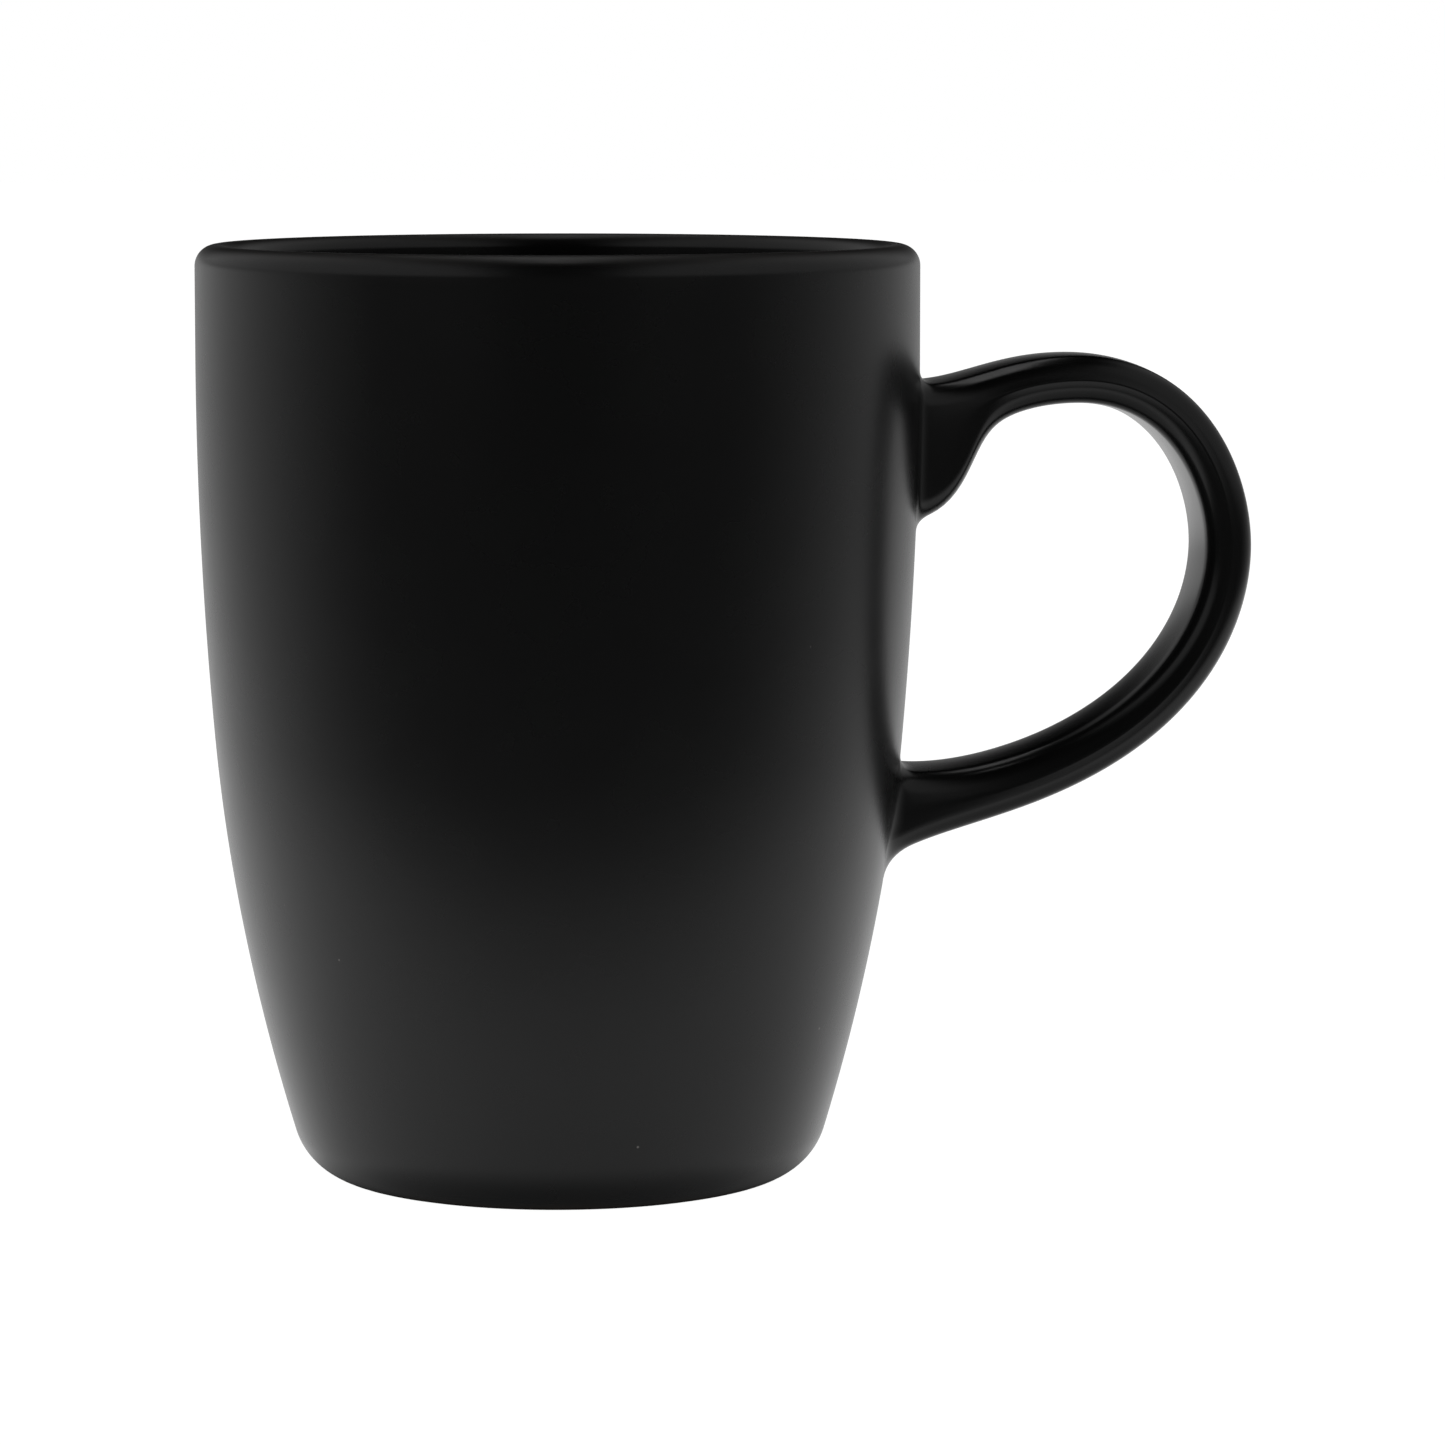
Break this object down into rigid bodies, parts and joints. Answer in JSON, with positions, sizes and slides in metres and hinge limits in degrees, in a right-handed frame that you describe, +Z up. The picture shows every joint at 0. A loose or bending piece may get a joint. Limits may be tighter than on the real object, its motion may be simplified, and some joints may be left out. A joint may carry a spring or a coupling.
{
  "type": "mug",
  "caption": "Tall handled mug: tapered round cup with a rounded lip, a bare foot ring and a looped, rounded strap handle, in a satin glaze.",
  "frame": {"origin": "centre of the foot ring, on the surface the mug rests on, on the cup's axis", "axes": "+Z up along the cup's axis, +X from the cup's axis towards the handle, +Y across the handle"},
  "size_m": [0.1202, 0.082, 0.1065],
  "materials": {
    "fired_clay": "bare fired black-stained stoneware",
    "slip": "bare fired slip, same body as the cup",
    "outer_glaze": "satin black glaze",
    "liner_glaze": "satin black liner glaze",
    "handle_glaze": "satin black glaze, slightly glossier"
  },
  "bodies": {
    "root": {"clay_cup": "fired_clay", "clay_handle": "fired_clay", "upper_slip_joint": "slip", "lower_slip_joint": "slip", "outer_glaze": "outer_glaze", "liner_glaze": "liner_glaze", "underside_glaze": "outer_glaze", "handle_glaze": "handle_glaze"}
  },
  "joints": []
}
